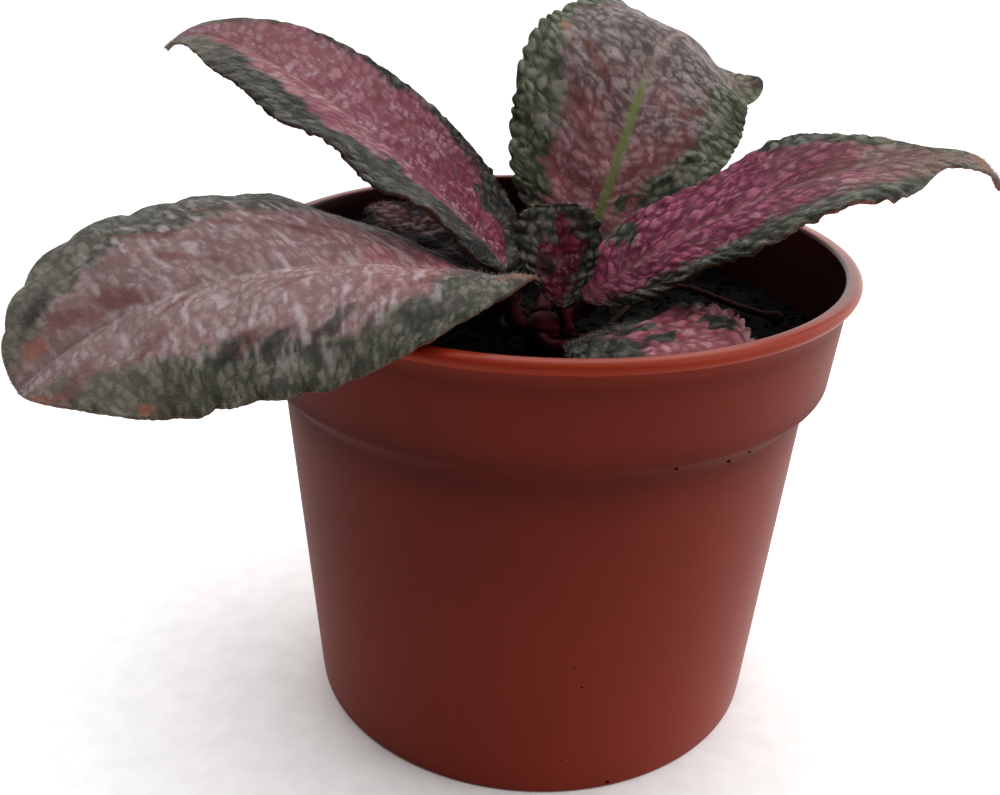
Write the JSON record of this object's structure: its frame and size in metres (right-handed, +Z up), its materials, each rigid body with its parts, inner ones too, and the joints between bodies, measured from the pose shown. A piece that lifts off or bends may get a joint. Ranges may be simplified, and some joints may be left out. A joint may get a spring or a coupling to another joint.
{
  "type": "potted flame violet",
  "caption": "Flame violet with puckered pink and green leaves round a short crown, growing in a small round plastic nursery pot filled with dark soil.",
  "frame": {"origin": "middle of the pot's foot, on the surface that the pot stands on", "axes": "+Z up along the pot's axis; the picture looks along +Y with +X to the right"},
  "size_m": [0.1365, 0.1186, 0.1028],
  "materials": {
    "pot_plastic": "thin moulded brown-red plastic with a soft sheen and a few specks of soil",
    "soil": null,
    "mauve_leaf": "puckered hairy leaf, dull mauve with pale veins and a grey-green margin; leather stands in for living leaf",
    "crimson_leaf": "puckered hairy leaf, crimson pink with a dark green margin; leather stands in for living leaf",
    "red_stem": "smooth dark red fleshy stem; wood stands in for living stem",
    "dry_runner": "thin dull reddish runner, partly dried"
  },
  "bodies": {
    "root": {"pot": "pot_plastic", "soil": "soil", "crown_stem": "red_stem", "leaf_left": "mauve_leaf", "leaf_upper_left": "crimson_leaf", "leaf_back": "mauve_leaf", "leaf_right": "crimson_leaf", "leaf_front": "crimson_leaf", "leaf_shaded": "mauve_leaf", "leaf_young": "crimson_leaf", "runner": "dry_runner"}
  },
  "joints": []
}
